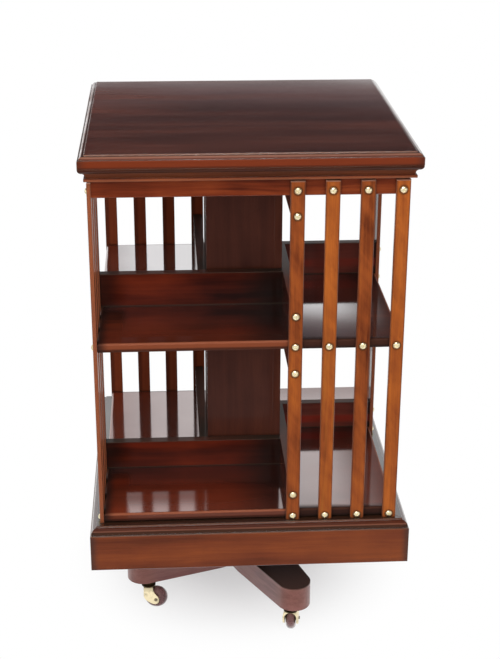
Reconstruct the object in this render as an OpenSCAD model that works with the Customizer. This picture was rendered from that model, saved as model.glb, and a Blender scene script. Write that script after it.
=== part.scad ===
// Square two-tier revolving bookcase of polished mahogany.
// A slatted case with four book openings in each tier turns on a steel spindle,
// which stands in a low cross of two halved rails on four swivel castors.
// Origin: on the floor under the spindle. +Z is up and the front is towards -Y.
// The plan repeats four times about the spindle, a quarter turn apart.

/* [Case] */
// Width of the case over the slats
case_w = 458; // [420:1:520]
// Clear height of the lower tier
lower_tier_h = 267; // [230:1:330]
// Clear height of the upper tier, up to the top board
upper_tier_h = 266; // [230:1:330]
// Thickness of the two shelves
shelf_t = 14; // [12:0.5:22]
// Radius of the eased shelf edges
shelf_ease = 3; // [1:0.5:5]
// Height of the frieze rails under the top
frieze_h = 45.5; // [36:0.5:70]
// Thickness of the frieze rails
frieze_t = 16; // [15:0.5:22]

/* [Slats] */
// Width of a slat
slat_w = 20.5; // [14:0.5:26]
// Thickness of a slat
slat_t = 6; // [4:0.5:9]
// Distance between slat centres
slat_pitch = 49.5; // [40:0.5:52]
// Case corner to the centre of the last slat
corner_inset = 15; // [13:0.5:18]
// Slats on each side
slat_count = 4; // [2:1:4]
// Chamfer on a slat's long front edges
slat_ease = 1.2; // [0.5:0.1:2]
// Bevel on a slat's top end
slat_bevel = 2.5; // [1:0.5:4]
// Gap between a slat's top end and the cornice fillet
slat_gap = 3; // [0:0.5:5]

/* [Post and dividing boards] */
// Width of the hollow post
post_w = 117; // [90:1:140]
// Thickness of the post boards
post_t = 12; // [8:0.5:16]
// Thickness of the dividing boards
board_t = 14; // [8:0.5:18]
// Height of the low boards on the middle shelf
upper_low_h = 53; // [40:1:90]
// Height of the low boards on the bottom shelf
lower_low_h = 46; // [40:1:90]
// Height of the high boards under the top
upper_high_h = 83; // [70:1:110]
// Height of the high boards under the middle shelf
lower_high_h = 45; // [35:1:80]

/* [Top] */
// Thickness of the top board
top_t = 18.5; // [16:0.5:26]
// Overhang of the top past the slats
top_over = 11; // [9:0.5:20]
// Height of the top's upright edge
top_edge_h = 12.3; // [9:0.1:13]
// Width of the moulding worked on the top's upper edge
top_mould_w = 9.5; // [8:0.5:20]
// Height of the cornice strips under the top
cornice_h = 19.7; // [16:0.1:26]
// Projection of the cornice fillet past the slats
fillet_over = 3.2; // [2:0.1:6]

/* [Plinth] */
// Height of the plinth rails
plinth_h = 72; // [60:1:100]
// Projection of the plinth past the slats
plinth_over = 15; // [13:0.5:22]
// Thickness of the plinth rails
plinth_t = 26; // [22:0.5:34]
// Height of the moulding on the plinth's upper edge
plinth_mould_h = 13; // [11:0.5:20]
// Leg of the glue blocks in the plinth corners
glue_leg = 42; // [25:1:60]
// Height of the glue blocks
glue_h = 56; // [30:1:58]

/* [Base] */
// Turn of the base cross against the case
base_turn = 24; // [0:1:90]
// Spindle to the end of an arm
arm_len = 211; // [180:1:230]
// Width of an arm at its round end
arm_w = 54; // [46:1:70]
// Width of the rails where they cross
arm_root_w = 76; // [72:1:84]
// Spindle to where a rail starts to taper
arm_root_l = 60; // [50:1:80]
// Thickness of an arm
arm_t = 41; // [28:1:50]
// Air between the arms and the plinth
skirt_gap = 76; // [60:1:110]
// Radius of the turned hub at its foot
hub_foot_r = 62; // [52:1:75]
// Radius of the turned hub's neck
hub_neck_r = 42; // [32:1:46]
// Height of the turned hub
hub_h = 120; // [90:1:140]

/* [Spindle and bearings] */
// Diameter of the steel spindle
spindle_d = 22; // [16:0.5:26]
// Thickness of the nut under the cross
nut_t = 11; // [8:0.5:16]
// Nut size across its corners
nut_corner_d = 38; // [34:0.5:46]
// Length of spindle below the nut
spindle_tail = 2; // [1:0.5:4]
// Length of bore in the top socket
socket_depth = 14; // [8:0.5:18]
// Diameter of the top socket's body
socket_d = 36; // [32:0.5:44]
// Diameter of the top socket's flange
socket_flange_d = 56; // [50:1:80]
// Thickness of the bearing flanges
flange_t = 4; // [3:0.5:6]
// Height of the block that holds the top socket
bearing_block_h = 34; // [30:1:50]
// Diameter of the collar under the bottom shelf
collar_d = 84; // [60:1:110]
// Diameter of the collar's boss
collar_boss_d = 36; // [32:0.5:44]
// Length of the collar's boss
collar_boss_h = 14; // [8:0.5:16]

/* [Castors] */
// Diameter of a castor wheel
wheel_d = 38; // [32:0.5:42]
// Width of a castor wheel
wheel_w = 18; // [12:0.5:20]
// Castor height, floor to arm
castor_h = 61; // [58:0.5:75]
// Swivel axis to the end of the arm
castor_inset = 35; // [26:1:60]
// Swivel axis to the wheel axle
trail = 12.8; // [11:0.1:18]
// Thickness of the horn's cheeks
cheek_t = 2.8; // [2:0.1:4]
// Thickness of the horn's fork over the wheel
crown_t = 6; // [5.5:0.5:7]
// Diameter of the wheel axle
axle_d = 4; // [3:0.1:6]
// Diameter of the swivel pin
swivel_d = 8; // [6:0.5:10]
// Diameter of the castor's top plate
plate_d = 40; // [38:0.5:44]
// Thickness of the castor's top plate
plate_t = 3; // [2:0.5:4]
// Thickness of the brass between wheel and swivel pin
bell_floor = 4; // [3:0.5:6]

/* [Screws] */
// Diameter of the slat screws' domed heads
head_d = 10.4; // [7:0.1:10.4]
// Height of the domed heads
head_h = 3; // [1.5:0.1:3.5]
// Diameter of the slat screws' shanks
shank_d = 3.5; // [2.5:0.1:4]
// Length of shank beyond the slat
shank_grip = 13; // [8:0.5:14]
// Frieze screws above the frieze's lower edge
frieze_screw_up = 8; // [5:0.5:12]
// Screws above the high boards' lower edges
high_screw_up = 8; // [5:0.5:12]
// Screws below the upper low boards' top edges
upper_low_screw_drop = 14; // [8:0.5:20]
// Screws below the lower low boards' top edges
lower_low_screw_drop = 18; // [8:0.5:20]
// Screws below the shelves' upper faces
shelf_screw_drop = 8.5; // [5:0.5:9]
// Diameter of the castor plate screws
plate_screw_d = 3.4; // [2.5:0.1:4]
// Length of the castor plate screws
plate_screw_l = 18; // [12:1:24]
// Plate screws from the swivel axis
plate_screw_r = 14.6; // [14:0.1:15.5]

/* [Clearances] */
// Radial running clearance of shafts and pins
run_fit = 0.06; // [0.02:0.01:0.1]
// Radial clearance of screws and fixed pins
screw_fit = 0.05; // [0.02:0.01:0.1]
// Clearance round the post where it passes the middle shelf
post_fit = 0.2; // [0.1:0.1:0.5]
// Clearance in the halved joint of the cross
lap_fit = 0.1; // [0.05:0.05:0.3]
// Open line at the cornice mitres
mitre_gap = 0.2; // [0.1:0.1:0.5]
// End play between turning faces
end_play = 0.3; // [0.2:0.1:0.6]
// Side play between wheel and cheeks
wheel_play = 0.8; // [0.5:0.1:2]
// Air over a castor wheel, and round the spindle in the bottom shelf
open_air = 1.5; // [1:0.1:3]

/* [Hidden] */
SIDES = ["front", "right", "back", "left"];

mahogany = [0.46, 0.20, 0.12];
dark_mahogany = [0.30, 0.12, 0.09];
brass = [0.86, 0.74, 0.45];
steel = [0.55, 0.55, 0.57];
iron = [0.25, 0.25, 0.26];
wheel_brown = [0.30, 0.18, 0.17];

case_half = case_w / 2;
carcass_half = case_half - slat_t;
post_half = post_w / 2;
hollow_w = post_w - 2 * post_t;
slat1_x = post_half + board_t / 2;
slat_last_x = case_half - corner_inset;

arm_z0 = castor_h;
arm_z1 = arm_z0 + arm_t;
plinth_z0 = arm_z1 + skirt_gap;
plinth_z1 = plinth_z0 + plinth_h;
bottom_z1 = plinth_z1 + shelf_t;
middle_z0 = bottom_z1 + lower_tier_h;
middle_z1 = middle_z0 + shelf_t;
top_z0 = middle_z1 + upper_tier_h;
top_z1 = top_z0 + top_t;
frieze_z0 = top_z0 - frieze_h;
slat_z1 = top_z0 - cornice_h;

top_half = case_half + top_over;
plinth_half = case_half + plinth_over;
plinth_in = plinth_half - plinth_t;

// heights of the screw rows: every slat, then the first slat on each side
full_rows = [
    frieze_z0 + frieze_screw_up,
    middle_z1 - shelf_screw_drop,
    bottom_z1 - shelf_screw_drop
];
first_rows = [
    top_z0 - upper_high_h + high_screw_up,
    middle_z1 + upper_low_h - upper_low_screw_drop,
    middle_z0 - lower_high_h + high_screw_up,
    bottom_z1 + lower_low_h - lower_low_screw_drop
];

spindle_r = spindle_d / 2;
socket_z0 = top_z0 - bearing_block_h - flange_t;
spindle_z1 = socket_z0 + socket_depth - end_play;
nut_z0 = arm_z0 - nut_t;
spindle_z0 = nut_z0 - spindle_tail;
collar_z0 = plinth_z1 - flange_t - collar_boss_h;

wheel_r = wheel_d / 2;
castor_r = arm_len - castor_inset;
plate_z0 = castor_h - plate_t;
horn_z1 = plate_z0 - end_play;
bell_z0 = wheel_d + open_air;
bore_z0 = bell_z0 + bell_floor;
cheek_y0 = wheel_w / 2 + wheel_play;
cheek_y1 = cheek_y0 + cheek_t;
arch_z0 = wheel_r + 11.5;
// direction of each horn from its swivel axis to its wheel: front, right, back, left
trail_turns = [79, 35, 100, -5];

// how far a cutting shape runs past the faces that it cuts
past = 1;
// facets of turned work, of bores and bearings, of pins and domes, and of screws
fn_turned = 96;
fn_bore = 64;
fn_pin = 48;
fn_screw = 24;

function side_turn(k) = 90 * k;
function arm_turn(k) = base_turn - 90 + 90 * k;
// the first slat is on the end of its dividing board, the others are set out from the corner
function slat_x(i) = i == 0 ? slat1_x : slat_last_x - (slat_count - 1 - i) * slat_pitch;
function arc(c, rx, ry, a0, a1, n) =
    [for (i = [0:n]) let (a = a0 + (a1 - a0) * i / n) [c[0] + rx * cos(a), c[1] + ry * sin(a)]];
function bez(p, q, r, s, n) =
    [for (i = [1:n - 1]) let (t = i / n, u = 1 - t)
        u * u * u * p + 3 * u * u * t * q + 3 * u * t * t * r + t * t * t * s];
function mirrored(pts) = concat(pts, [for (i = [len(pts) - 1:-1:0]) [-pts[i][0], pts[i][1]]]);

// upright section drawn in XZ and carried along Y for a length centred on zero
module run_y(len) {
    rotate([90, 0, 0]) linear_extrude(height = len, center = true) children();
}

// upright section drawn in YZ and carried along X for a length centred on zero
module run_x(len) {
    rotate([90, 0, 90]) linear_extrude(height = len, center = true) children();
}

// square slab whose section, symmetric about the Z axis, shows on all four edges
module square_slab(section, half) {
    span = 2 * (half + past);
    intersection() {
        run_y(span) polygon(section);
        rotate([0, 0, 90]) run_y(span) polygon(section);
    }
}

// strip on the front side with mitred ends, its section drawn as distance out and height
module mitred_strip(section, out, gap) {
    z0 = min([for (p = section) p[1]]) - past;
    z1 = max([for (p = section) p[1]]) + past;
    reach = out + 10 * past;
    intersection() {
        rotate([0, 0, -90]) run_y(2 * reach) polygon(section);
        translate([0, 0, z0]) linear_extrude(height = z1 - z0)
            polygon([[0, -gap], [-reach, -reach - gap], [reach, -reach - gap]]);
    }
}

// holes or shanks for every screw of one side, as cylinders through a slat's front face
module side_shanks(k, r, from, to) {
    rotate([0, 0, side_turn(k)]) {
        for (i = [0:slat_count - 1], z = full_rows)
            shank(slat_x(i), z, r, from, to);
        for (z = first_rows)
            shank(slat1_x, z, r, from, to);
    }
}

module shank(x, z, r, from, to) {
    translate([x, -from, z]) rotate([-90, 0, 0]) cylinder(r = r, h = from - to, $fn = fn_screw);
}

module screw_bores(k) {
    r = shank_d / 2 + screw_fit;
    side_shanks(k, r, case_half + past, carcass_half - shank_grip - screw_fit);
}

module top_board() {
    arris = 1.2;
    half = top_half;
    z_edge = top_z0 + top_edge_h;
    rise = top_t - top_edge_h;
    quirk = 2.5;
    fillet_w = 1.5;
    fillet_h = 1.5;
    round_w = top_mould_w - quirk - fillet_w;
    flat_half = half - top_mould_w;
    section = mirrored(concat(
        [[half - arris, top_z0]],
        arc([half - arris, top_z0 + arris], arris, arris, -60, 0, 3),
        arc([half - arris, z_edge - arris], arris, arris, 0, 90, 4),
        [[half - quirk, z_edge]],
        arc([half - quirk - round_w, z_edge], round_w, rise - fillet_h, 15, 90, 7),
        [[flat_half, top_z1 - fillet_h], [flat_half, top_z1]]
    ));
    color(mahogany) square_slab(section, half);
}

// ovolo, cove and fillet under the top, four mitred strips
module cornice_strips() {
    r = 7.5;
    out = case_half + fillet_over;
    arris = 0.6;
    fillet_h = 3.7;
    slope = 0.8;
    neck_in = 2.8;
    cove_w = neck_in + 1;
    cove_z0 = slat_z1 + fillet_h + slope;
    cove_h = top_z0 - r - slope - cove_z0;
    section = concat(
        [[carcass_half, slat_z1], [out - arris, slat_z1], [out, slat_z1 + arris]],
        [[out, slat_z1 + fillet_h], [out - neck_in, cove_z0]],
        arc([out - neck_in + cove_w, cove_z0], cove_w, cove_h, 180, 100, 6),
        [[top_half - r, top_z0 - r]],
        arc([top_half - r, top_z0], r, r, -80, 0, 7),
        [[carcass_half, top_z0]]
    );
    color(mahogany)
        for (k = [0:3])
            rotate([0, 0, side_turn(k)]) mitred_strip(section, top_half, mitre_gap);
}

module frieze_rail(k) {
    arris = 1;
    inside = carcass_half - frieze_t;
    section = [
        [inside, frieze_z0], [carcass_half - arris, frieze_z0],
        [carcass_half, frieze_z0 + arris], [carcass_half, top_z0], [inside, top_z0]
    ];
    color(mahogany) difference() {
        rotate([0, 0, side_turn(k)]) mitred_strip(section, carcass_half, 0);
        screw_bores(k);
        screw_bores(k + 1);
        screw_bores(k + 3);
    }
}

// four boards butted in turn round the hollow, from the bottom shelf to the top
module post_board(k) {
    color(dark_mahogany)
        rotate([0, 0, side_turn(k)])
            translate([-post_half, -post_half, bottom_z1])
                cube([post_w - post_t, post_t, top_z0 - bottom_z1]);
}

function shelf_section(half, z0) = let (e = shelf_ease) mirrored(concat(
    arc([half - e, z0 + e], e, e, -90, 0, 5),
    arc([half - e, z0 + shelf_t - e], e, e, 0, 90, 5)
));

module middle_shelf() {
    hole = post_w + 2 * post_fit;
    color(dark_mahogany) difference() {
        square_slab(shelf_section(carcass_half, middle_z0), carcass_half);
        translate([-hole / 2, -hole / 2, middle_z0 - past])
            cube([hole, hole, shelf_t + 2 * past]);
        for (k = [0:3]) screw_bores(k);
    }
}

module bottom_shelf() {
    color(dark_mahogany) difference() {
        square_slab(shelf_section(carcass_half, plinth_z1), carcass_half);
        translate([0, 0, plinth_z1 - past])
            cylinder(r = spindle_r + open_air, h = shelf_t + 2 * past, $fn = fn_bore);
        for (k = [0:3]) screw_bores(k);
    }
}

// rail with a bead, quirk and step worked on its upper edge, mitred at the corners
module plinth_rail(k) {
    lower_arris = 1.5;
    upper_arris = 0.9;
    step_h = 2.4;
    step_arris = 0.5;
    quirk_w = 0.8;
    quirk_h = 2;
    half = plinth_half;
    z_face = plinth_z1 - plinth_mould_h;
    flat = half - 9.5;
    bead_in = flat + quirk_w;
    bead_out = half - 2 * upper_arris;
    bead_z0 = z_face + quirk_h;
    bead_z1 = plinth_z1 - step_h;
    section = concat(
        [[plinth_in, plinth_z0], [half - lower_arris, plinth_z0]],
        arc([half - lower_arris, plinth_z0 + lower_arris], lower_arris, lower_arris, -70, 0, 3),
        arc([half - upper_arris, z_face - upper_arris], upper_arris, upper_arris, 0, 90, 3),
        [[bead_out - quirk_w, z_face], [bead_out - quirk_w, z_face + 0.7 * quirk_h]],
        arc([bead_in, bead_z0], bead_out - bead_in, bead_z1 - bead_z0, 0, 90, 7),
        [[flat, bead_z1], [flat, plinth_z1 - step_arris]],
        [[flat - step_arris, plinth_z1], [plinth_in, plinth_z1]]
    );
    color(mahogany)
        rotate([0, 0, side_turn(k)]) mitred_strip(section, half, 0);
}

module plinth_glue_blocks() {
    color(dark_mahogany)
        for (k = [0:3])
            rotate([0, 0, side_turn(k)])
                translate([plinth_in, -plinth_in, plinth_z1 - glue_h])
                    linear_extrude(height = glue_h)
                        polygon([[0, 0], [0, glue_leg], [-glue_leg, 0]]);
}

// dividing board from the slat on its own side, past the post, to the next board
module dividing_board(k, z0, z1, notch_z0) {
    color(dark_mahogany) difference() {
        rotate([0, 0, side_turn(k)]) difference() {
            translate([post_half, -carcass_half, z0])
                cube([board_t, carcass_half + post_half, z1 - z0]);
            translate([post_half - past, -carcass_half - past, notch_z0])
                cube([board_t + 2 * past, frieze_t + past, z1 - notch_z0 + past]);
        }
        screw_bores(k);
    }
}

module upper_low_board(k) {
    dividing_board(k, middle_z1, middle_z1 + upper_low_h, top_z1);
}

module upper_high_board(k) {
    dividing_board(k, top_z0 - upper_high_h, top_z0, frieze_z0);
}

module lower_low_board(k) {
    dividing_board(k, bottom_z1, bottom_z1 + lower_low_h, top_z1);
}

module lower_high_board(k) {
    dividing_board(k, middle_z0 - lower_high_h, middle_z0, top_z1);
}

// one slat: eased front edges, bevelled top end, standing on the plinth
module slat(x) {
    w = slat_w / 2;
    e = slat_ease;
    z1 = slat_z1 - slat_gap;
    translate([x, 0, 0]) difference() {
        translate([0, 0, plinth_z1]) linear_extrude(height = z1 - plinth_z1)
            polygon([
                [-w, -carcass_half], [-w, -case_half + e], [-w + 0.3 * e, -case_half + 0.3 * e],
                [-w + e, -case_half], [w - e, -case_half], [w - 0.3 * e, -case_half + 0.3 * e],
                [w, -case_half + e], [w, -carcass_half]
            ]);
        translate([0, -case_half, z1]) rotate([45, 0, 0])
            cube([slat_w + 2 * past, slat_bevel, slat_bevel], center = true);
    }
}

module slats(k) {
    color(mahogany) difference() {
        rotate([0, 0, side_turn(k)])
            for (i = [0:slat_count - 1]) slat(slat_x(i));
        screw_bores(k);
    }
}

// domed brass head with its slot, and the shank through the slat into the work behind
module dome_screw(x, z, turn) {
    r = head_d / 2;
    ball = (r * r + head_h * head_h) / (2 * head_h);
    slot_w = 1;
    slot_h = 0.9;
    translate([x, -case_half, z]) rotate([90, turn, 0]) {
        difference() {
            intersection() {
                translate([0, 0, head_h - ball]) sphere(r = ball, $fn = fn_pin);
                cylinder(r = r + past, h = head_h + past, $fn = fn_pin);
            }
            translate([-r, -slot_w / 2, head_h - slot_h]) cube([head_d, slot_w, slot_h + past]);
        }
        translate([0, 0, -slat_t - shank_grip])
            cylinder(d = shank_d, h = slat_t + shank_grip + head_h / 4, $fn = fn_screw);
    }
}

module slat_screws() {
    color(brass)
        for (k = [0:3])
            rotate([0, 0, side_turn(k)]) {
                for (i = [0:slat_count - 1], j = [0:len(full_rows) - 1])
                    dome_screw(slat_x(i), full_rows[j], 47 * i + 31 * j + 23 * k);
                for (j = [0:len(first_rows) - 1])
                    dome_screw(slat1_x, first_rows[j], 20 + 61 * j + 37 * k);
            }
}

// block glued between the post boards under the top, bored for the socket
module bearing_block() {
    color(dark_mahogany) difference() {
        translate([-hollow_w / 2, -hollow_w / 2, top_z0 - bearing_block_h])
            cube([hollow_w, hollow_w, bearing_block_h]);
        translate([0, 0, top_z0 - bearing_block_h - past])
            cylinder(
                d = socket_d + 2 * screw_fit,
                h = socket_depth + past + screw_fit,
                $fn = fn_bore
            );
    }
}

// brass socket that hangs the case on the spindle's end
module pivot_socket() {
    color(brass) difference() {
        translate([0, 0, socket_z0]) {
            cylinder(d = socket_flange_d, h = flange_t, $fn = fn_bore);
            cylinder(d = socket_d, h = flange_t + socket_depth, $fn = fn_bore);
        }
        translate([0, 0, socket_z0 - past])
            cylinder(r = spindle_r + run_fit, h = socket_depth + past, $fn = fn_bore);
    }
}

// iron collar under the bottom shelf that steadies the case on the spindle
module lower_collar() {
    color(iron) difference() {
        union() {
            translate([0, 0, plinth_z1 - flange_t])
                cylinder(d = collar_d, h = flange_t, $fn = fn_bore);
            translate([0, 0, collar_z0])
                cylinder(d = collar_boss_d, h = plinth_z1 - collar_z0, $fn = fn_bore);
        }
        translate([0, 0, collar_z0 - past])
            cylinder(r = spindle_r + run_fit, h = plinth_z1 - collar_z0 + 2 * past, $fn = fn_bore);
    }
}

module castor_place(k) {
    rotate([0, 0, arm_turn(k)]) translate([castor_r, 0, 0]) rotate([0, 0, -arm_turn(k)]) children();
}

module plate_screw_places() {
    for (a = [45:90:315]) rotate([0, 0, a]) translate([plate_screw_r, 0, 0]) children();
}

module plate_screw_bores() {
    for (k = [0:3])
        castor_place(k) plate_screw_places()
            translate([0, 0, plate_z0 - past])
                cylinder(
                    d = plate_screw_d + 2 * screw_fit,
                    h = plate_screw_l + past + screw_fit,
                    $fn = fn_screw
                );
}

// half of a rail in plan: parallel over the crossing, then tapered to a round end
function rail_half() =
    let (
        r = arm_w / 2,
        root = arm_root_w / 2,
        end_x = arm_len - r,
        taper = atan((root - r) / (end_x - arm_root_l))
    )
    concat(
        [[arm_root_l, -root]],
        arc([end_x, 0], r, r, taper - 90, 90 - taper, fn_bore / 2),
        [[arm_root_l, root]]
    );

// rail of the cross, along two opposite arms, cut half through where it crosses the other
module cross_rail(k, notch_z0) {
    root = arm_root_w / 2;
    half = rail_half();
    color(mahogany) difference() {
        rotate([0, 0, arm_turn(k)]) translate([0, 0, arm_z0]) linear_extrude(height = arm_t)
            polygon(concat(half, -half));
        rotate([0, 0, arm_turn(k)])
            translate([-root - lap_fit, -root - past, notch_z0])
                cube([arm_root_w + 2 * lap_fit, arm_root_w + 2 * past, arm_t / 2 + past]);
        translate([0, 0, arm_z0 - past])
            cylinder(r = spindle_r + screw_fit, h = arm_t + 2 * past, $fn = fn_bore);
        plate_screw_bores();
    }
}

// halved over each other: one is cut from above and the other from below
module cross_rail_lower() {
    cross_rail(0, arm_z0 + arm_t / 2);
}

module cross_rail_upper() {
    cross_rail(1, arm_z0 - past);
}

// turned boss on the cross, round the spindle, cleared in its head for the collar's boss
module turned_hub() {
    bore = spindle_r + screw_fit;
    ease = 2;
    foot_h = 8;
    cove_r = hub_foot_r - 1.5 * ease;
    cove_z0 = arm_z1 + foot_h + ease;
    cove_h = 20;
    bead_w = 5;
    bead_h = 6;
    bead_drop = 20;
    z1 = arm_z1 + hub_h;
    color(mahogany) difference() {
        rotate_extrude($fn = fn_turned) polygon(concat(
            [[bore, arm_z1], [hub_foot_r - ease / 2, arm_z1], [hub_foot_r, arm_z1 + ease / 2]],
            [[hub_foot_r, arm_z1 + foot_h], [cove_r, cove_z0]],
            arc([cove_r, cove_z0 + cove_h], cove_r - hub_neck_r, cove_h, 270, 180, 10),
            [[hub_neck_r, z1 - bead_drop - bead_h]],
            arc([hub_neck_r, z1 - bead_drop], bead_w, bead_h, -90, 90, 10),
            [[hub_neck_r, z1 - ease], [hub_neck_r - ease, z1], [bore, z1]]
        ));
        translate([0, 0, collar_z0 - end_play])
            cylinder(d = collar_boss_d + 2 * end_play, h = plinth_z1 - collar_z0, $fn = fn_bore);
    }
}

module spindle() {
    nose = 2;
    color(steel) {
        translate([0, 0, spindle_z0])
            cylinder(r = spindle_r, h = spindle_z1 - nose - spindle_z0, $fn = fn_bore);
        translate([0, 0, spindle_z1 - nose])
            cylinder(r1 = spindle_r, r2 = spindle_r - nose, h = nose, $fn = fn_bore);
    }
}

// hexagon nut with its washer against the cross
module spindle_nut() {
    washer_t = 2;
    washer_d = nut_corner_d + 8;
    color(iron) difference() {
        union() {
            translate([0, 0, nut_z0]) cylinder(d = nut_corner_d, h = nut_t - washer_t, $fn = 6);
            translate([0, 0, arm_z0 - washer_t]) cylinder(d = washer_d, h = washer_t, $fn = fn_bore);
        }
        translate([0, 0, nut_z0 - past])
            cylinder(r = spindle_r + screw_fit, h = nut_t + 2 * past, $fn = fn_bore);
    }
}

// round plate under the arm with its swivel pin, countersunk for four screws
module castor_plates() {
    screw_r = plate_screw_d / 2;
    color(brass)
        for (k = [0:3])
            castor_place(k) difference() {
                union() {
                    translate([0, 0, plate_z0]) cylinder(d = plate_d, h = plate_t, $fn = fn_bore);
                    translate([0, 0, bore_z0 + end_play])
                        cylinder(d = swivel_d, h = plate_z0 - bore_z0, $fn = fn_pin);
                }
                plate_screw_places() {
                    translate([0, 0, plate_z0 - past])
                        cylinder(r = screw_r + screw_fit, h = plate_t + 2 * past, $fn = fn_screw);
                    translate([0, 0, plate_z0 - screw_fit])
                        cylinder(
                            r1 = plate_screw_d + 2 * screw_fit,
                            r2 = screw_r + screw_fit,
                            h = screw_r + screw_fit,
                            $fn = fn_screw
                        );
                }
            }
}

module castor_plate_screws() {
    r = plate_screw_d / 2;
    slot_w = 0.8;
    slot_h = 0.6;
    slot_l = 2 * (plate_screw_d + past);
    color(brass)
        for (k = [0:3])
            castor_place(k) plate_screw_places() difference() {
                translate([0, 0, plate_z0]) {
                    cylinder(r1 = plate_screw_d, r2 = r, h = r, $fn = fn_screw);
                    cylinder(r = r, h = plate_screw_l, $fn = fn_screw);
                }
                translate([-slot_l / 2, -slot_w / 2, plate_z0 - past])
                    cube([slot_l, slot_w, slot_h + past]);
            }
}

// turns a child drawn with its trail along +X to the way this castor points
module castor_turn(k) {
    castor_place(k) rotate([0, 0, trail_turns[k]]) children();
}

// the horn from the side, in trail and height: a broad neck that curls down to the axle
function horn_side() =
    let (
        eye = [trail - 2, wheel_r - 1],
        eye_r = 7.5,
        a0 = 250,
        a1 = 390,
        foot = eye + eye_r * [cos(a0), sin(a0)],
        throat = eye + eye_r * [cos(a1), sin(a1)],
        back = [-swivel_d / 2 - 3.5, wheel_r + 8],
        front = [swivel_d / 2 + 4, wheel_r + 20]
    )
    concat(
        [[back[0], bell_z0 + crown_t], back],
        bez(back, back - [0, 8], foot + [-6.6, 2.4], foot, 10),
        arc(eye, eye_r, eye_r, a0, a1, 12),
        bez(throat, throat + [-0.9, 4.8], front - [-0.8, 8], front, 8),
        [front, [front[0], bell_z0 + crown_t]]
    );

// the fork from the front, in side and height: an arch round the wheel with straight legs
function fork_arch() =
    let (h0 = bell_z0 - arch_z0, h1 = h0 + crown_t)
    concat(
        [[cheek_y1, 0]],
        arc([0, arch_z0], cheek_y1, h1, 0, 180, 24),
        [[-cheek_y1, 0], [-cheek_y0, 0]],
        arc([0, arch_z0], cheek_y0, h0, 180, 0, 24),
        [[cheek_y0, 0]]
    );

// brass horn: bell round the swivel pin, and a fork over the wheel that ends in two curled cheeks
module castor_horn(k) {
    arris = 0.8;
    rim_r = swivel_d / 2 + 7.7;
    rim_z0 = bell_z0 + 1.5;
    rim_h = 3;
    neck_r = swivel_d / 2 + 4.2;
    waist = rim_r - neck_r;
    color(brass) castor_turn(k) difference() {
        union() {
            rotate_extrude($fn = fn_bore) polygon(concat(
                [[0, rim_z0], [rim_r - arris, rim_z0]],
                [[rim_r, rim_z0 + arris], [rim_r, rim_z0 + rim_h]],
                arc([rim_r, rim_z0 + rim_h + waist], waist, waist, 262, 180, 7),
                [[neck_r, horn_z1 - arris], [neck_r - arris, horn_z1], [0, horn_z1]]
            ));
            intersection() {
                run_y(2 * (cheek_y1 + past)) polygon(horn_side());
                run_x(4 * wheel_d) polygon(fork_arch());
            }
        }
        translate([0, 0, bore_z0]) cylinder(r = swivel_d / 2 + run_fit, h = horn_z1, $fn = fn_pin);
        translate([trail, cheek_y1 + past, wheel_r]) rotate([90, 0, 0])
            cylinder(d = axle_d + 2 * screw_fit, h = 2 * (cheek_y1 + past), $fn = fn_pin);
    }
}

// barrel-shaped hardwood wheel with a raised boss each side
module castor_wheel(k) {
    w = wheel_w / 2;
    bore = axle_d / 2 + run_fit;
    boss = axle_d / 2 + 2.6;
    dish = 1;
    round_r = w - 2 * dish;
    round_x = wheel_r - round_r;
    color(wheel_brown) castor_turn(k)
        translate([trail, 0, wheel_r]) rotate([90, 0, 0])
            rotate_extrude($fn = fn_turned) polygon(concat(
                [[bore, -w], [boss, -w], [boss + dish, dish - w]],
                arc([round_x, -dish], round_r, round_r, -90, 0, 8),
                arc([round_x, dish], round_r, round_r, 0, 90, 8),
                [[boss + dish, w - dish], [boss, w], [bore, w]]
            ));
}

// pin through wheel and cheeks, riveted over at both ends
module castor_axle(k) {
    reach = cheek_y1 + screw_fit;
    rivet_h = 1.2;
    rivet_r1 = axle_d / 2 + 0.9;
    rivet_r2 = axle_d / 2 + 0.3;
    color(steel) castor_turn(k)
        translate([trail, 0, wheel_r]) rotate([90, 0, 0]) {
            cylinder(d = axle_d, h = 2 * (reach + rivet_h / 2), center = true, $fn = fn_pin);
            for (s = [0, 1]) mirror([0, 0, s])
                translate([0, 0, reach]) cylinder(r1 = rivet_r1, r2 = rivet_r2, h = rivet_h, $fn = fn_pin);
        }
}

top_board();
cornice_strips();
for (k = [0:3]) frieze_rail(k);
for (k = [0:3]) post_board(k);
middle_shelf();
bottom_shelf();
for (k = [0:3]) plinth_rail(k);
plinth_glue_blocks();
for (k = [0:3]) upper_low_board(k);
for (k = [0:3]) upper_high_board(k);
for (k = [0:3]) lower_low_board(k);
for (k = [0:3]) lower_high_board(k);
for (k = [0:3]) slats(k);
slat_screws();
bearing_block();
pivot_socket();
lower_collar();
cross_rail_lower();
cross_rail_upper();
turned_hub();
spindle();
spindle_nut();
castor_plates();
castor_plate_screws();
for (k = [0:3]) castor_horn(k);
for (k = [0:3]) castor_wheel(k);
for (k = [0:3]) castor_axle(k);
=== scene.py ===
"""A revolving bookcase of French-polished mahogany, photographed on a white studio sweep.

The studio comes first. Each section after it is one group of pieces of the real bookcase, from
the floor upwards: what it is, its woods or metals with their sizes and colours, and the pieces
that take them.
"""

import bpy
import numpy as np
from mathutils import Matrix, Vector

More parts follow.
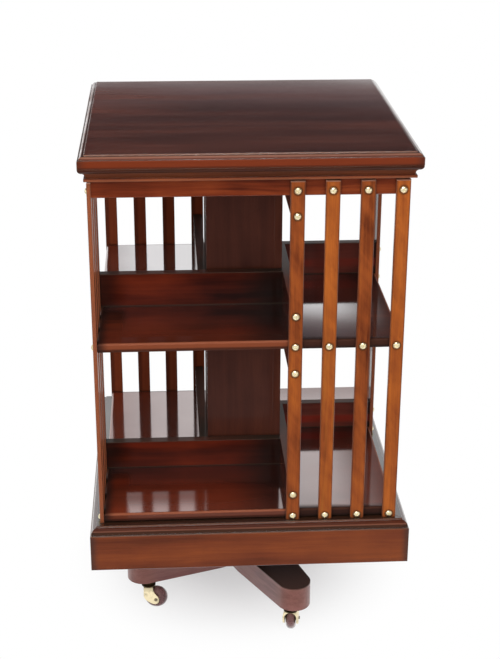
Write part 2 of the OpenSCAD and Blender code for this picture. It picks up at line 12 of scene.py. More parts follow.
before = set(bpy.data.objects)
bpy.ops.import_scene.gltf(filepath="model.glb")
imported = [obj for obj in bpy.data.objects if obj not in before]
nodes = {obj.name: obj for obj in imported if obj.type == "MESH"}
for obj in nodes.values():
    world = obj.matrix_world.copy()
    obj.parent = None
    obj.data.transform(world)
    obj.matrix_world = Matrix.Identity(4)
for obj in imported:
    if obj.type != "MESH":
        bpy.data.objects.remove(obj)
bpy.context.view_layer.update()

# Studio: the camera stands in front and a little to the left, above the top of the case. White
# paper lies under the bookcase and rises behind it to chest height, and soft lamps stand in front
# and overhead. Above the paper the room is dark, which the polish shows.

scene = bpy.context.scene
scene.view_settings.view_transform = "Standard"


class Shade:
    """A socket of a material's nodes: sums on it add Math nodes, and add() makes other nodes."""

    def __init__(self, tree, socket=None):
        self.tree, self.socket = tree, socket

    def add(self, kind, settings=None, inputs=None, out=0):
        """Makes a node of a kind, sets its settings or ramp stops, then fills its sockets."""
        node = self.tree.nodes.new("ShaderNode" + kind)
        for key, value in (settings or {}).items():
            if key == "stops":
                ramp = node.color_ramp
                while len(ramp.elements) < len(value):
                    ramp.elements.new(0.5)
                for stop, (place, colour) in zip(ramp.elements, value):
                    stop.position, stop.color = place, colour
            else:
                setattr(node, key, value)
        for key, value in (inputs or {}).items():
            if isinstance(value, Shade):
                self.tree.links.new(value.socket, node.inputs[key])
            else:
                node.inputs[key].default_value = value
        return Shade(self.tree, node.outputs[out] if len(node.outputs) else None)

    def also(self, out):
        """Another output of the node that this socket belongs to."""
        return Shade(self.tree, self.socket.node.outputs[out])

    def sum(self, operation, *values):
        return self.add("Math", {"operation": operation}, dict(enumerate(values)))

    def __add__(self, other):
        return self.sum("ADD", self, other)

    def __sub__(self, other):
        return self.sum("SUBTRACT", self, other)

    def __rsub__(self, other):
        return self.sum("SUBTRACT", other, self)

    def __mul__(self, other):
        return self.sum("MULTIPLY", self, other)

    def __truediv__(self, other):
        return self.sum("DIVIDE", self, other)

    def __pow__(self, other):
        return self.sum("POWER", self, other)

    def __gt__(self, other):
        return self.sum("GREATER_THAN", self, other)

    def __abs__(self):
        return self.sum("ABSOLUTE", self)

    __radd__, __rmul__ = __add__, __mul__

    def least(self, other):
        return self.sum("MINIMUM", self, other)

    def most(self, other):
        return self.sum("MAXIMUM", self, other)

    def rise(self, low, high):
        """0 below low, 1 above high, and a smooth rise between them."""
        sockets = {0: self, 1: low, 2: high, 3: 0.0, 4: 1.0}
        return self.add("MapRange", {"interpolation_type": "SMOOTHSTEP"}, sockets)

    def band(self, low, high, soft):
        """1 between low and high, and 0 further than soft outside them."""
        return self.rise(low - soft, low) * (1 - self.rise(high, high + soft))

    def blend(self, low, high):
        """The colour low where this is 0 and high where it is 1."""
        return self.add("Mix", {"data_type": "RGBA"}, {0: self, 6: low, 7: high}, 2)

    def vector(self, operation, other, out=0):
        """Vector maths on this vector and another."""
        return self.add("VectorMath", {"operation": operation}, {0: self, 1: other}, out)

    def dot(self, axis):
        return self.vector("DOT_PRODUCT", axis, "Value")

    def noise(self, scale=1.0, detail=2.0, rough=0.5, seed=0.0):
        """Soft noise on this vector, with so many blotches a unit as the scale says."""
        sockets = {"Vector": self, "Scale": scale, "Detail": detail, "Roughness": rough}
        sockets["W"] = seed / scale
        return self.add("TexNoise", {"noise_dimensions": "4D"}, sockets)


def grey(share):
    """A grey in linear light, from 0 for black to 1 for white."""
    return (share, share, share, 1.0)


def new_material(name):
    """An empty material: its starting Shade, and the function that ends it in a shader."""
    made = bpy.data.materials.new(name)
    made.use_nodes = True
    made.node_tree.nodes.clear()

    def end(shader):
        shader.add("OutputMaterial", {}, {"Surface": shader})
        return made

    return Shade(made.node_tree), end


def mesh_grid(name, points):
    """A surface from a grid of points: a quad joins each point to its neighbours on both sides."""
    rows, cols = points.shape[:2]
    corner = np.arange(rows * cols).reshape(rows, cols)
    quads = np.stack([corner[:-1, :-1], corner[1:, :-1], corner[1:, 1:], corner[:-1, 1:]], -1)
    mesh = bpy.data.meshes.new(name)
    mesh.from_pydata(points.reshape(-1, 3).tolist(), [], quads.reshape(-1, 4).tolist())
    mesh.polygons.foreach_set("use_smooth", np.ones(len(mesh.polygons), bool))
    made = bpy.data.objects.new(name, mesh)
    scene.collection.objects.link(made)
    return made


# the camera's place and turn come from fitting the case's edges to the photograph
PHOTO_HIGH, FOCAL_PIXELS, SENSOR = 659, 1416.17, 36.0
CAMERA_AT = -0.11875, -2.12205, 1.34475
YAW, PITCH, ROLL = np.radians([3.5537, 22.3124, 0.2229])
ahead = np.array([np.sin(YAW) * np.cos(PITCH), np.cos(YAW) * np.cos(PITCH), -np.sin(PITCH)])
level = np.array([np.cos(YAW), -np.sin(YAW), 0.0])
upward = np.cross(level, ahead)
turn = np.eye(4)
turn[:3, 0] = np.cos(ROLL) * level + np.sin(ROLL) * upward
turn[:3, 1] = np.cos(ROLL) * upward - np.sin(ROLL) * level
turn[:3, 2] = -ahead
turn[:3, 3] = CAMERA_AT
camera = bpy.data.objects.new("camera", bpy.data.cameras.new("camera"))
scene.collection.objects.link(camera)
camera.matrix_world = Matrix(turn.tolist())
camera.data.sensor_width = SENSOR
camera.data.lens = FOCAL_PIXELS / PHOTO_HIGH * SENSOR
camera.data.clip_end = 60.0
scene.camera = camera

# floor: a round of white paper. Near the bookcase it is lit and takes shadows, and it fades to
# plain white away from a point a little behind the middle.
FLOOR_RINGS = (0.0, 0.4, 0.8, 1.6, 3.2, 9.0)
LIT_NEAR, LIT_FAR, LIT_SHARE, LIT_BACK = 0.05, 0.32, 0.54, 0.09
FIBRES, PAPER_TONES = 30.0, ((0.94, 0.94, 0.98, 1.0), (0.97, 0.97, 1.0, 1.0))
ring = np.linspace(0, 2 * np.pi, 97)
reach = np.array(FLOOR_RINGS)[:, None]
points = np.stack([reach * np.cos(ring), reach * np.sin(ring), 0 * reach * ring], -1)
floor = mesh_grid("floor", points)
start, end = new_material("floor paper")
flat = start.add("TexCoord", out="Object").vector("MULTIPLY", (1.0, 1.0, 0.0))
away = flat.vector("DISTANCE", (0.0, LIT_BACK, 0.0), "Value")
paper = flat.noise(FIBRES, 4.0).blend(*PAPER_TONES)
lit = start.add("BsdfDiffuse", {}, {"Color": paper, "Roughness": 0.4})
plain = start.add("Emission", {}, {"Color": grey(1.0), "Strength": 1.0})
seen = start.add("LightPath", out="Is Camera Ray")
seen = seen + seen.also("Is Glossy Ray") + seen.also("Is Transmission Ray")
fade = seen * (1 - LIT_SHARE * (1 - away.rise(LIT_NEAR, LIT_FAR)))
floor.data.materials.append(end(start.add("MixShader", {}, {0: fade, 1: lit, 2: plain})))

# the paper's upright part, which only the polish and the brass see: brightest at table height,
# and darker above. Each tone stands at a share of the height.
SWEEP_R, SWEEP_TOP = 1.0, 1.2
SWEEP_TONES = [
    (0.40, grey(0.7)),
    (0.53, grey(1.0)),
    (0.775, grey(1.0)),
    (0.805, grey(0.85)),
    (0.832, (0.24, 0.20, 0.20, 1.0)),
    (0.85, (0.13, 0.10, 0.105, 1.0)),
    (0.885, (0.04, 0.028, 0.03, 1.0)),
    (0.95, (0.022, 0.016, 0.017, 1.0)),
]
height = np.array([0.0, 0.5, 1.0])[:, None] * SWEEP_TOP
upright = np.stack([SWEEP_R * np.cos(ring) + 0 * height, SWEEP_R * np.sin(ring) + 0 * height], -1)
sweep = mesh_grid("sweep", np.concatenate([upright, (height + 0 * ring)[..., None]], -1))
start, end = new_material("sweep paper")
place = start.add("TexCoord", out="Object")
up = place.add("SeparateXYZ", {}, {0: place}, 2) / SWEEP_TOP
tone = up.add("ValToRGB", {"stops": SWEEP_TONES}, {"Fac": up})
sweep.data.materials.append(end(start.add("Emission", {}, {"Color": tone, "Strength": 1.0})))
sweep.visible_camera = sweep.visible_diffuse = sweep.visible_shadow = False

# daylight of the room: even and dim on the wood, and white behind it. The polish and the brass
# see a dark room, but for a pale ceiling in front.
DAYLIGHT, DARK_ROOM, PALE_CEILING = (0.39, 0.395, 0.41, 1.0), (0.024, 0.018, 0.019, 1.0), grey(0.7)
world = bpy.data.worlds.new("studio")
world.use_nodes = True
world.node_tree.nodes.clear()
scene.world = world
start = Shade(world.node_tree)
seen = start.add("LightPath", out="Is Camera Ray")
way = start.add("TexCoord", out="Generated")
to_back = way.add("SeparateXYZ", {}, {0: way}, 1)
ceiling = to_back.also(2).rise(0.35, 0.6) * (0 - to_back).rise(-0.1, 0.5)
sky = seen.also("Is Glossy Ray").blend(DAYLIGHT, ceiling.blend(DARK_ROOM, PALE_CEILING))
sky = start.add("Background", {}, {"Color": seen.blend(sky, grey(1.0)), "Strength": 1.0})
sky.add("OutputWorld", {}, {"Surface": sky})


def lamp(name, at, aim, wide, tall, watts):
    """A soft box with its centre at one point and turned to face another."""
    data = bpy.data.lights.new(name, "AREA")
    data.shape, data.size, data.size_y = "RECTANGLE", wide, tall
    data.energy, data.color = watts, (1.0, 0.98, 0.95)
    made = bpy.data.objects.new(name, data)
    made.location = at
    made.rotation_euler = (Vector(aim) - Vector(at)).to_track_quat("-Z", "Y").to_euler()
    scene.collection.objects.link(made)


lamp("key_lamp", at=(-0.9, -2.6, 1.75), aim=(0, 0, 0.5), wide=1.7, tall=1.3, watts=20.0)
lamp("fill_lamp", at=(1.7, -2.2, 1.2), aim=(0, 0, 0.45), wide=1.3, tall=1.5, watts=9.0)
lamp("top_lamp", at=(-0.35, -1.25, 2.5), aim=(0, 0, 0.4), wide=1.8, tall=1.1, watts=26.0)


# Cross base: two mahogany rails halved over each other, with round ends, and a turned boss that
# stands on them round the spindle. Their old polish is dull and rosy, partly a painted reflection
# of the pale floor, and their tops are dark with dust and painted shade from the case above.


def rgb(red, green, blue):
    """A colour as the photograph's screen shows it, 0 to 255, in linear light."""
    c = np.array([red, green, blue]) / 255
    return (*np.where(c <= 0.04045, c / 12.92, ((c + 0.055) / 1.055) ** 2.4).tolist(), 1.0)


class Wood:
    """One French-polished wood: its grain, then stains and wear on it, then the polish."""

    OLD_WAX, CORNER_REACH, RUBBED_ARRIS = (36, 28, 22), 0.007, 0.05
    MIRROR_LEAST, MIRROR_GAIN, MIRROR_MOST, GRAZE_POWER = 0.003, 1.3, 0.7, 2.4

    def __init__(self, name, along, across, seed, figure=1.0, lined=1.0):
        """Sums noises drawn out along the grain, each finer than the last, into one mix of tones.

        Place in the grain is u along it and v, w across it: dot products with three square axes.
        Without an axis along, the grain follows a mitred frame round the case.
        """
        self.start, self.end = new_material(name)
        place = self.start.add("TexCoord", out="Object")
        self.x = place.add("SeparateXYZ", {}, {0: place})
        self.y, self.z = self.x.also(1), self.x.also(2)
        if along is None:
            side = abs(self.x) > abs(self.y)
            u = self.x * (1 - side) + self.y * side
            v, w = self.z, self.y * (1 - side) + self.x * side
        else:
            along, across = Vector(along).normalized(), Vector(across).normalized()
            u, v, w = [self.towards(axis) for axis in (along, across, along.cross(across))]
        self.grain, self.seed = (u, v, w), seed
        wander = self.streaks(5.0, 5.0, 2.0, 3.1) - 0.5
        self.grain = (u, v + wander * (0.022 * figure), w)
        self.cloud = self.streaks(7.0, 10.0, 3.0, 2.2)
        self.fine = self.streaks(22.0, 800.0, 1.0, 1.7)
        self.pores = self.streaks(90.0, 2300.0, 1.0, 5.9).rise(0.62, 0.74)
        broad = self.streaks(2.0, 26.0, 3.0, 0.0) - 0.5
        lines = self.streaks(5.0, 170.0, 3.0, 7.3) - 0.5
        self.mix = broad * (2.2 * figure) + (self.cloud - 0.5) * (1.3 * figure) + 0.5
        self.mix = self.mix + lines * (1.2 * figure * lined) + (self.fine - 0.5) * (0.35 * lined)

    def towards(self, axis):
        """How far the point is along an axis from the middle of the case."""
        return self.start.add("TexCoord", out="Object").dot(axis)

    def facing(self, axis):
        """How squarely the surface faces along an axis: 1 straight on, 0 sideways."""
        return self.start.add("NewGeometry", out="Normal").dot(axis)

    def streaks(self, long, fine, detail, seed):
        """Noise with blotches 1 / long metres along the grain and 1 / fine metres across it."""
        u, v, w = self.grain
        drawn = u.add("CombineXYZ", {}, {0: u * long, 1: v * fine, 2: w * fine})
        return drawn.noise(1.0, detail, 0.6, self.seed + seed)

    def colour(self, dark, middle, light):
        """Picks between three tones by the mix, with the darkest in the open pores."""
        stops = [(0.0, rgb(*dark)), (0.5, rgb(*middle)), (1.0, rgb(*light))]
        self.body = self.mix.add("ValToRGB", {"stops": stops}, {"Fac": self.mix})
        self.body = (self.pores * 0.5).blend(self.body, rgb(*dark))

    def stain(self, mask, colour):
        """Lays another colour over the wood where a mask is 1."""
        self.body = mask.blend(self.body, rgb(*colour))

    def polish(self, rubbed, worn=0.4, depth=1.0, sheen=0.05, arris=0.0009, wax_and_shade=0.8, dull=0.0,
               tint=(1.0, 1.0, 1.0, 1.0)):
        """Rubs the arrises paler, which also stands for a painted highlight on them, darkens the
        corners with old wax and dust and painted shade, and lays the polish on.

        An arris is where the normal turns away from its average over a small round, and a corner
        is where little open air is near. The polish is a mirror whose share grows with a power of
        1 minus the cosine of the angle that it is seen at, as a clear film's does.
        """
        rounded = self.start.add("Bevel", {"samples": 5}, {"Radius": arris})
        bend = (1 - self.facing(rounded)).rise(0.01, 0.14)
        # painted highlight: the rubbed, paler arrises also stand in for light caught on them
        self.stain(bend * (0.3 + self.cloud) * worn, rubbed)
        # painted shade, with old wax and dust: darker where little open air is near
        sockets = {"Distance": self.CORNER_REACH}
        air = self.start.add("AmbientOcclusion", {"samples": 6}, sockets, "AO")
        corner = (1 - air).rise(0.25, 0.62)
        self.stain(corner * (0.5 + self.cloud * 0.6) * wax_and_shade, self.OLD_WAX)
        sockets = {"Strength": 0.25, "Distance": 0.0002, "Normal": rounded}
        sockets["Height"] = self.fine * 0.6 - self.pores
        relief = self.start.add("Bump", {}, sockets)
        sockets = {
            "Base Color": self.body,
            "Roughness": 0.38 + self.cloud * 0.14 + self.pores * 0.2,
            "Specular IOR Level": 0.03,
            "Normal": relief,
        }
        satin = self.start.add("BsdfPrincipled", {}, sockets)
        sockets = {"Strength": 0.2, "Distance": 0.0004, "Normal": rounded}
        sockets["Height"] = self.streaks(8.0, 12.0, 1.0, 8.8)
        ripple = self.start.add("Bump", {}, sockets)
        sockets = {"Color": tint, "Roughness": sheen, "Normal": ripple}
        mirror = self.start.add("BsdfGlossy", {}, sockets)
        graze = self.start.add("LayerWeight", {}, {"Blend": 0.5}, "Facing")
        clear = self.MIRROR_GAIN * (0.84 + 0.32 * self.cloud)
        share = self.MIRROR_LEAST + graze**self.GRAZE_POWER * clear + bend * self.RUBBED_ARRIS
        share = (share * (1 - dull) * depth).least(self.MIRROR_MOST)
        return self.end(self.start.add("MixShader", {}, {0: share, 1: satin, 2: mirror}))


def finish_nodes(material, *names):
    """Gives CAD nodes their material, in every slot of their mesh."""
    for name in names:
        mesh = nodes[name].data
        mesh.materials.clear()
        mesh.materials.append(material)


def far(name, axis):
    """How far a CAD node reaches along an axis, 0 to 2, from the case's middle or the floor."""
    return max(corner[axis] for corner in nodes[name].bound_box)


ARM_TURN, ARM_LONG = np.radians(24), 0.211
ALONG_ARM = (np.cos(ARM_TURN), np.sin(ARM_TURN), 0)
ALONG_OTHER = (-np.sin(ARM_TURN), np.cos(ARM_TURN), 0)
ALONG_X, ALONG_Y, UPRIGHT = (1, 0, 0), (0, 1, 0), (0, 0, 1)
rail_top = far("cross_rail_upper", 2)
for name, along, across, seed in (
    ("cross_rail_lower", ALONG_OTHER, UPRIGHT, 1.0),
    ("cross_rail_upper", ALONG_ARM, UPRIGHT, 2.0),
    ("turned_hub", UPRIGHT, ALONG_X, 3.0),
):
    wood = Wood(name.replace("_", " ") + " wood", along, across, seed, figure=0.7)
    # rosy tones: the wood's own colour with a painted reflection of the pale floor in it
    wood.colour((106, 70, 68), (144, 102, 98), (166, 124, 114))
    wood.stain(wood.cloud.rise(0.5, 0.75) * 0.35, (160, 84, 74))
    top = wood.z.rise(rail_top - 0.0015, rail_top - 0.0005)
    end_on = abs(wood.towards(along)).rise(0.5 * ARM_LONG, ARM_LONG)
    wood.stain(end_on.rise(0.6, 0.9) * 0.3, (166, 110, 92))
    # painted shade: dust and the case's shadow darken the tops, browner towards the ends where
    # light reaches
    wood.stain(top * 0.92, (34, 26, 22))
    wood.stain(top * end_on * 0.6, (92, 54, 40))
    old_polish = wood.polish((158, 116, 104), worn=0.6, depth=0.3, sheen=0.22, arris=0.0012)
    finish_nodes(old_polish, name)


# Castors: cast and lacquered brass horns and plates, brass plate screws, riveted steel axles and
# dark turned hardwood wheels, polished by rolling.


def worked_metal(name, bright, dull, rough, patch=60.0, seed=0.0, tarnish_and_shade_above=None):
    """Metal with clouds of tarnish, darker and rougher than the bright metal, and a very fine
    ripple of casting and rubbing. Above a height, where no hand reaches, the tarnish is whole,
    which also paints the shade that falls there."""
    start, end = new_material(name)
    place = start.add("TexCoord", out="Object")
    tarnish = place.noise(patch, 4.0, 0.6, seed).rise(0.42, 0.72) * 0.55
    if tarnish_and_shade_above:
        z = place.add("SeparateXYZ", {}, {0: place}, 2)
        tarnish = tarnish.most(z.rise(*tarnish_and_shade_above))
    ripple = place.noise(900.0)
    rounded = start.add("Bevel", {"samples": 5}, {"Radius": 0.0006})
    sockets = {"Strength": 0.12, "Distance": 0.0002, "Height": ripple, "Normal": rounded}
    relief = start.add("Bump", {}, sockets)
    sockets = {
        "Base Color": tarnish.blend(rgb(*bright), rgb(*dull)),
        "Metallic": 1.0,
        "Roughness": rough + tarnish * 0.3 + ripple * 0.05,
        "Normal": relief,
    }
    return end(start.add("BsdfPrincipled", {}, sockets))


SIDES = ["front", "right", "back", "left"]
# above the horn's neck height the brass is wholly tarnished, and also painted with the shade under
# the arm
HORN_BRIGHT, HORN_DULL, HORN_NECK = (252, 236, 196), (58, 46, 30), (0.038, 0.043)
horn_brass = worked_metal("horn brass", HORN_BRIGHT, HORN_DULL, 0.22, tarnish_and_shade_above=HORN_NECK)
plate_brass = worked_metal("plate brass", (112, 92, 58), (52, 42, 28), 0.4, seed=2.0)
axle_steel = worked_metal("axle steel", (138, 124, 104), (80, 68, 56), 0.35, 80.0, 8.0)
for k, side in enumerate(SIDES):
    finish_nodes(horn_brass, f"castor_horn_{side}")
    finish_nodes(axle_steel, f"castor_axle_{side}")
    wood = Wood(f"wheel wood {side}", UPRIGHT, ALONG_X, 9.0 + k, figure=0.8)
    # mauve tones: the wood's own colour with a painted reflection of the pale floor in it
    wood.colour((84, 57, 58), (130, 94, 94), (156, 118, 115))
    rolled = wood.polish((146, 120, 112), worn=0.5, depth=0.9, sheen=0.12, arris=0.001)
    finish_nodes(rolled, f"castor_wheel_{side}")
finish_nodes(plate_brass, "castor_plates", "castor_plate_screws")


# Spindle: a bright steel rod from a blackened nut under the cross to the head of the post. The
# case hangs on it by a brass socket, and an iron collar under the bottom shelf steadies it.

steel = worked_metal("steel", (176, 176, 180), (110, 106, 104), 0.25, 40.0, 4.0)
iron = worked_metal("iron", (70, 70, 74), (48, 42, 40), 0.5, 70.0, 6.0)
finish_nodes(steel, "spindle")
finish_nodes(iron, "spindle_nut", "lower_collar")
finish_nodes(plate_brass, "pivot_socket")


# Plinth: four mitred rails with a moulding worked on the upper edge, glued up with plain blocks
# in the corners. The grain runs along each rail, in long orange and brown streaks.


def light_and_shade_lines(wood, top, lines, soft, within=1.0):
    """Paints light and shade on the beads and hollows of a moulding, which run level all round
    under its top: painted highlights on the beads, painted shade with some dirt in the hollows.

    Each line has the heights where it begins and ends from the top, its colour and its share.
    """
    for low, high, colour, share in lines:
        line = wood.z.band(top + low, top + high, soft) * (share * (0.7 + 0.5 * wood.cloud))
        wood.stain(line * within, colour)


ALONG_SIDE = [ALONG_X, ALONG_Y, ALONG_X, ALONG_Y]
# the plinth moulding: painted highlights on its beads, painted shade with dirt in its quirks and
# on its flat
PLINTH_LIGHT_AND_SHADE = (
    (-0.0004, 0.0010, (32, 24, 18), 0.9),
    (-0.0022, -0.0006, (112, 76, 62), 0.8),
    (-0.0051, -0.0025, (64, 30, 22), 0.85),
    (-0.0070, -0.0055, (112, 76, 62), 0.75),
    (-0.0128, -0.0073, (50, 36, 28), 0.85),
    (-0.0140, -0.0130, (112, 78, 60), 0.7),
)
plinth_half, plinth_top = far("plinth_rail_front", 0), far("plinth_rail_front", 2)
for k, side in enumerate(SIDES):
    wood = Wood(f"plinth wood {side}", ALONG_SIDE[k], UPRIGHT, 11.0 + 5.0 * k, 0.7, 0.7)
    wood.colour((66, 25, 10), (113, 51, 22), (146, 72, 27))
    # painted shade on the rounded upright corners
    corner = abs(wood.x).least(abs(wood.y))
    wood.stain(corner.rise(plinth_half - 0.014, plinth_half) * 0.8, (64, 42, 35))
    light_and_shade_lines(wood, plinth_top, PLINTH_LIGHT_AND_SHADE, 0.0004)
    waxed = wood.polish((144, 92, 64), depth=0.75, sheen=0.08, arris=0.0016, wax_and_shade=1.0)
    finish_nodes(waxed, f"plinth_rail_{side}")
for name, seed in (("plinth_glue_blocks", 17.0), ("bearing_block", 18.0)):
    wood = Wood(name.replace("_", " ") + " wood", UPRIGHT, ALONG_X, seed)
    wood.colour((92, 58, 40), (120, 80, 56), (142, 98, 68))
    finish_nodes(wood.polish((150, 108, 80), worn=0.3, depth=0.1, sheen=0.4), name)


# Shelves: two solid boards with rounded edges, their grain from side to side. Their deep, glassy
# polish mirrors the slats and the paper behind them. It is rubbed where books slide in and out of
# the bays, darker and duller along the slats' feet, and holds painted shade and dust in the nooks.

OUTWARD = [(0, -1, 0), (1, 0, 0), (0, 1, 0), (-1, 0, 0)]
BAY_END, RUBBED_FROM, DARK_FOOT_WIDTHS = 0.058, 0.12, (0.018, 0.006, 0.006, 0.018)
SHELVES = {
    "bottom_shelf": {
        "seed": 23.0,
        "tones": ((42, 18, 13), (72, 30, 18), (104, 42, 23)),
        "lower edge": (92, 42, 28),
        "red": 1.0,
        "rubbed": (0.0, 0.9, 0.3, 0.3),
        "rubbed strip": 0.75,
        "polish": {"depth": 1.35, "sheen": 0.08, "tint": (1.0, 0.88, 0.87, 1.0)},
    },
    "middle_shelf": {
        "seed": 29.0,
        "tones": ((38, 20, 16), (63, 30, 22), (96, 42, 26)),
        "lower edge": (126, 64, 39),
        "red": 0.4,
        "rubbed": (0.9, 1.0, 0.4, 0.4),
        "rubbed strip": 0.0,
        "polish": {"depth": 1.5, "sheen": 0.06, "tint": (1.0, 0.98, 0.99, 1.0)},
    },
}
for name, look in SHELVES.items():
    half, top = far(name, 0), far(name, 2)
    wood = Wood(name.replace("_", " ") + " wood", ALONG_X, ALONG_Y, look["seed"], 0.9, 0.5)
    wood.colour(*look["tones"])
    wood.stain(wood.streaks(3.0, 9.0, 3.0, 6.1).rise(0.5, 0.75) * 0.45, (118, 38, 20))

    # each side is open to the left of its first slat, and slatted to the right of it
    dark_by_slat_feet, worn, shaded_nook, dull = 0, 0, 0, 0
    for k, outward in enumerate(OUTWARD):
        out, beside = wood.towards(outward), wood.towards(OUTWARD[(k + 1) % 4])
        slatted = beside.rise(BAY_END, BAY_END + 0.006)
        # a strip along the slats' feet, made darker and duller
        dark_by_slat_feet = out.rise(half - DARK_FOOT_WIDTHS[k], half - 0.002) * slatted + dark_by_slat_feet
        outer = out.rise(RUBBED_FROM, half) * (1 - slatted)
        worn = outer + worn
        dull = outer * look["rubbed"][k] + dull
        bay = out.rise(BAY_END, BAY_END + 0.014) * (1 - slatted)
        shaded_nook = bay * beside.rise(-0.04, 0.045).most(1 - out.rise(0.08, 0.13)) + shaded_nook
    wood.stain(worn * (0.3 + wood.cloud * 0.6) * look["red"], (130, 52, 28))
    # painted shade, with some dust, in the nooks at the bays' ends
    wood.stain(shaded_nook * 0.8, (36, 24, 22))

    # the front bay is also dull at its left end, and in a strip some way behind its edge
    front = 0 - wood.y
    strip = front.rise(RUBBED_FROM, RUBBED_FROM + 0.02) * (1 - front.rise(0.172, 0.226))
    strip = strip * look["rubbed strip"]
    strip = strip.most(1 - wood.x.rise(-0.193, -0.178)) * (1 - wood.y.rise(-0.1, -0.08))
    strip = strip * (1 - wood.x.rise(BAY_END - 0.02, BAY_END))

    # the nosing: a painted highlight along its upper arris, and painted shade on its lower part
    # and foot
    edge = abs(wood.x).most(abs(wood.y)).rise(half - 0.0045, half - 0.0015)
    wood.stain(edge * 0.85, (152, 88, 62))
    wood.stain(edge * (1 - wood.z.rise(top - 0.0034, top - 0.0016)) * 0.85, look["lower edge"])
    wood.stain(edge * (1 - wood.z.rise(top - 0.010, top - 0.007)) * 0.8, (52, 27, 20))
    wood.stain(dark_by_slat_feet * 0.85, (40, 28, 25))
    dull = dull.most(dark_by_slat_feet * 0.95).most(strip)
    edge_wear = {"worn": 0.8 - dark_by_slat_feet * 0.75, "arris": 0.0014, "wax_and_shade": 0.9}
    finish_nodes(wood.polish((192, 124, 96), dull=dull, **edge_wear, **look["polish"]), name)


# Post and dividing boards: four upright boards round the spindle, low boards standing on each
# shelf and high boards hung under the shelf or top above. Dark, quiet wood with painted shade at
# its ends, old wax along the low boards' feet, and old wax and a painted highlight on their tops.

RED_BOARD = (42, 15, 11), (96, 33, 17), (134, 50, 24)
MAUVE_BOARD = (58, 31, 28), (98, 46, 38), (122, 60, 48)
RED_STREAKS = ("middle_shelf", 0.016, 0.022), ("bottom_shelf", 0.013, 0.019)
# old wax along the low boards' feet, and along their tops old wax with a painted highlight
WAX_AND_HIGHLIGHT_LINES = (
    ("middle_shelf", 0.0, 0.0012),
    ("bottom_shelf", 0.0, 0.0012),
    ("upper_low_board_front", -0.0010, -0.0002),
    ("lower_low_board_front", -0.0008, 0.0),
)
for k, side in enumerate(SIDES):
    wood = Wood(f"post wood {side}", UPRIGHT, ALONG_SIDE[k], 31.0 + k, 0.5, 0.4)
    wood.colour((50, 24, 19), (84, 44, 33), (110, 60, 42))
    finish_nodes(wood.polish((100, 56, 42), depth=0.8, sheen=0.09), f"post_board_{side}")
for k, side in enumerate(SIDES):
    wood = Wood(f"board wood {side}", OUTWARD[k], UPRIGHT, 37.0 + 3.0 * k, 1.0, 0.4)
    wood.colour(*(MAUVE_BOARD if side == "right" else RED_BOARD))
    red = wood.streaks(3.0, 40.0, 3.0, 2.9).rise(0.55, 0.75)
    wood.stain(red * 0.6, (128, 42, 22))
    out = wood.towards(OUTWARD[k])
    # painted shade at each board's ends: by the slats and beside the post
    wood.stain(out.rise(0.17, 0.218) * 0.8, (34, 20, 16))
    wood.stain((1 - out.rise(-0.04, 0.035)) * 0.85, (28, 20, 17))
    if side == "right":
        for shelf, low, high in RED_STREAKS:
            streak = wood.z.band(far(shelf, 2) + low, far(shelf, 2) + high, 0.007)
            wood.stain(streak * wood.cloud.rise(0.3, 0.6), (142, 44, 30))
    for level_with, low, high in WAX_AND_HIGHLIGHT_LINES:
        line = wood.z.band(far(level_with, 2) + low, far(level_with, 2) + high, 0.0006)
        wood.stain(line * 0.55, (74, 64, 54))
    dusty = wood.facing(UPRIGHT).rise(0.5, 0.9) * 0.88
    quiet = {"worn": 0.5, "depth": 0.8, "sheen": 0.06, "arris": 0.0008, "wax_and_shade": 0.9}
    finish_nodes(
        wood.polish((128, 84, 62), dull=dusty, **quiet),
        f"upper_low_board_{side}",
        f"upper_high_board_{side}",
        f"lower_low_board_{side}",
        f"lower_high_board_{side}",
    )


# Slats: four on each side, each cut from its own piece, so that no two have quite one colour, and
# with a slanting figure. Redder and darker inside, partly painted shade, with a painted highlight
# on the head's bevel. Domed, slotted brass screws hold them to the boards, shelves and frieze.

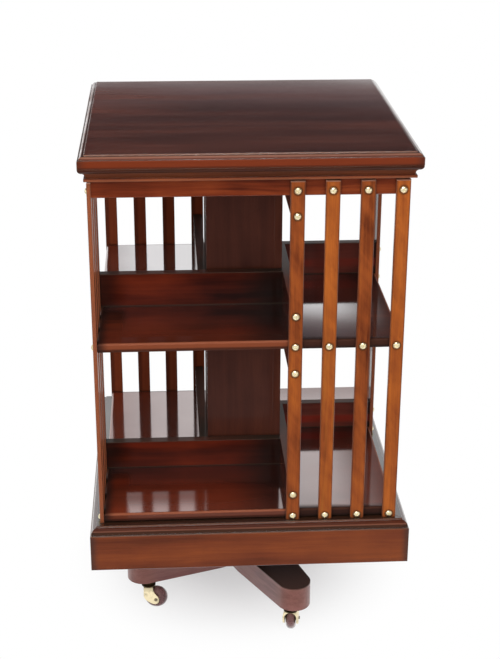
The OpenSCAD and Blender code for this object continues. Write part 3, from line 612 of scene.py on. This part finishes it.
SLAT_FIRST, SLAT_PITCH, SLAT_HALF = 0.0655, 0.0495, 0.01025
SLAT_SHADES = (-0.02, 0.1, -0.1, 0.15)
EVERY_SLAT_ROWS, FIRST_SLAT_ROWS = (0.7735, 0.5365, 0.2555), (0.736, 0.584, 0.494, 0.292)
RING_NEAR, RING_FAR = 0.0055, 0.0088
slat_back, slat_top = far("bottom_shelf", 0), far("slats_front", 2)
for k, side in enumerate(SIDES):
    wood = Wood(f"slat wood {side}", UPRIGHT, ALONG_SIDE[k], 43.0 + 5.0 * k, figure=0.6)
    sideways = OUTWARD[(k + 1) % 4]
    along = wood.towards(sideways)
    number = (along - (SLAT_FIRST - SLAT_PITCH / 2)) / SLAT_PITCH
    stops = [(0.25 * i, grey(0.5 + shade)) for i, shade in enumerate(SLAT_SHADES)]
    picked = wood.start.add("ValToRGB", {"stops": stops}, {"Fac": number / 4})
    picked.socket.node.color_ramp.interpolation = "CONSTANT"
    shade = picked.add("SeparateColor", {}, {0: picked}) - 0.5
    wood.mix = wood.mix + shade + (wood.streaks(16.0, 90.0, 3.0, 4.4) - 0.5) * 0.8
    slant = {0: wood.z * 44.0 + along * 62.0, 1: wood.z * 9.0, 2: along * 25.0}
    slant = wood.start.add("CombineXYZ", {}, slant).noise(seed=70.0 + k)
    wood.mix = wood.mix + (slant - 0.5) * 0.65
    wood.colour((80, 32, 16), (144, 72, 32), (180, 97, 38))
    second = number.band(1.01, 1.99, 0.01) * (1 - wood.z.rise(0.42, 0.62) * 0.85)
    wood.stain(second * wood.streaks(4.0, 120.0, 2.0, 9.1).rise(0.4, 0.65) * 0.7, (176, 106, 40))
    offset = (number - number.sum("FLOOR", number) - 0.5) * SLAT_PITCH
    across = abs(offset)
    # painted shade along each slat's rounded long edges
    wood.stain(across.rise(SLAT_HALF - 0.0028, SLAT_HALF - 0.0006) * 0.5, (78, 44, 28))

    # a ring of old wax and painted shade round each screw
    up = 1.0
    for row in EVERY_SLAT_ROWS:
        up = abs(wood.z - row).least(up)
    for row in FIRST_SLAT_ROWS:
        up = (abs(wood.z - row) + number.rise(0.98, 1.02)).least(up)
    screw = (across**2 + up**2) ** 0.5
    wood.stain((1 - screw.rise(RING_NEAR, RING_FAR)) * 0.75, (66, 42, 20))

    # the inner faces, redder and darker, partly painted shade, and less red on the left side;
    # painted shade along one edge of them; then painted highlights on the edge faces and the bevel
    inner = 1 - wood.towards(OUTWARD[k]).rise(slat_back + 0.0003, slat_back + 0.0028)
    inner = inner * (0.3 if side == "left" else 1.0)
    wood.stain(inner * 0.9, (116, 51, 29))
    wood.stain(inner * offset.rise(0.001, 0.006) * 0.5, (40, 21, 16))
    wood.stain(abs(wood.facing(sideways)).rise(0.6, 0.9) * 0.5, (158, 92, 66))
    wood.stain(wood.z.rise(slat_top - 0.0019, slat_top - 0.0015) * 0.8, (196, 142, 118))
    satin = wood.polish((168, 104, 70), worn=0.25, depth=0.3, sheen=0.09, arris=0.0012)
    finish_nodes(satin, f"slats_{side}")
screw_brass = worked_metal("screw brass", (255, 242, 200), (196, 168, 110), 0.2, 90.0, 1.0)
finish_nodes(screw_brass, "slat_screws")


# Frieze, cornice and top: rails behind the slats' heads, mitred cornice strips, and one wide
# board with a moulded edge. The top's polish is glassy, but smudged and duller at the left.

FRIEZE_TONES = (64, 22, 10), (114, 46, 20), (146, 68, 30)
for k, side in enumerate(SIDES):
    wood = Wood(f"frieze wood {side}", ALONG_SIDE[k], UPRIGHT, 53.0 + 7.0 * k)
    wood.colour(*FRIEZE_TONES)
    finish_nodes(wood.polish((166, 100, 68), depth=0.7, sheen=0.08), f"frieze_rail_{side}")
# the cornice: painted shade under the top's overhang and in the cove, and a painted highlight on
# the fillet
CORNICE_LIGHT_AND_SHADE = (
    (-0.0062, -0.0002, (38, 22, 15), 0.85),
    (-0.0145, -0.0070, (96, 50, 26), 0.75),
    (-0.0197, -0.0172, (150, 92, 62), 0.55),
)
wood = Wood("cornice wood", None, None, 61.0)
wood.colour(*FRIEZE_TONES)
light_and_shade_lines(wood, far("cornice_strips", 2), CORNICE_LIGHT_AND_SHADE, 0.0008)
cornice_polish = wood.polish((170, 112, 78), depth=0.25, sheen=0.09, arris=0.0012, wax_and_shade=1.0)
finish_nodes(cornice_polish, "cornice_strips")

FIELD_HALF = 0.2305
# the top's moulded edge: painted highlights on its beads, painted shade with some dirt in its
# quirks
TOP_LIGHT_AND_SHADE = (
    (-0.0014, -0.0002, (158, 116, 96), 0.7),
    (-0.0018, -0.0015, (52, 30, 22), 0.7),
    (-0.0037, -0.0020, (148, 102, 82), 0.65),
    (-0.0060, -0.0039, (104, 58, 42), 0.7),
    (-0.0064, -0.0061, (40, 25, 18), 0.8),
    (-0.0185, -0.0155, (70, 34, 22), 0.6),
)
top_half, top_height, top_foot = far("top_board", 0), far("top_board", 2), far("cornice_strips", 2)
wood = Wood("top wood", ALONG_X, ALONG_Y, 67.0, 0.65, 0.8)
wood.colour((60, 33, 29), (91, 50, 42), (124, 72, 60))
out = abs(wood.x).most(abs(wood.y))
wood.stain(out.rise(top_half - 0.0025, top_half - 0.001), (116, 48, 22))
corner = abs(wood.x).least(abs(wood.y))
wood.stain(corner.rise(top_half - 0.016, top_half) * 0.6, (62, 36, 27))
light_and_shade_lines(wood, top_height, TOP_LIGHT_AND_SHADE, 0.0002, out.rise(FIELD_HALF - 0.0006, FIELD_HALF))
smudge = 0.34 - 0.66 * wood.streaks(1.8, 14.0, 4.0, 3.3).rise(0.3, 0.7)
smudge = smudge + 0.4 * (1 - wood.x.rise(-0.24, 0.02))
smudge = smudge.most(0.9 - 0.9 * wood.z.rise(top_foot + 0.0015, top_foot + 0.003))
glassy = {"worn": 0.3, "depth": 0.9, "sheen": 0.055, "arris": 0.0014, "wax_and_shade": 1.0}
finish_nodes(wood.polish((176, 128, 104), dull=smudge, **glassy), "top_board")
